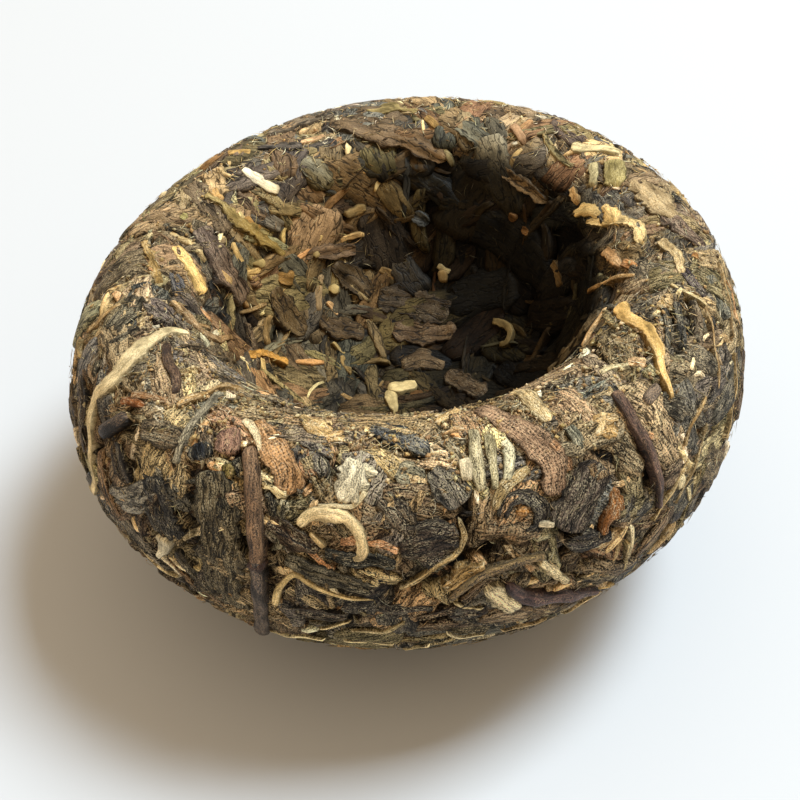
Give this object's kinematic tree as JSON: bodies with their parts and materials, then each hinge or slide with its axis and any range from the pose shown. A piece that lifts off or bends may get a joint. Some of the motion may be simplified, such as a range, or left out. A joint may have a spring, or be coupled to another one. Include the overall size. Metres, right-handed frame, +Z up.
{
  "type": "pu erh tuocha",
  "caption": "Bowl-shaped cake of ripe pu erh tea, pressed from whole leaves and stems, hollow side up, with a thick rounded rim and a round dome under it.",
  "frame": {"origin": "on the ground, under the middle of the part's box, inside its flat resting spot", "axes": "+Z up out of the hollow, -Y towards the side that the picture shows, +X to that side's right"},
  "size_m": [0.0844, 0.0836, 0.0457],
  "materials": {
    "pressed_tea": "matt, dry, fibrous"
  },
  "bodies": {
    "root": {"tuocha": "pressed_tea"}
  },
  "joints": []
}
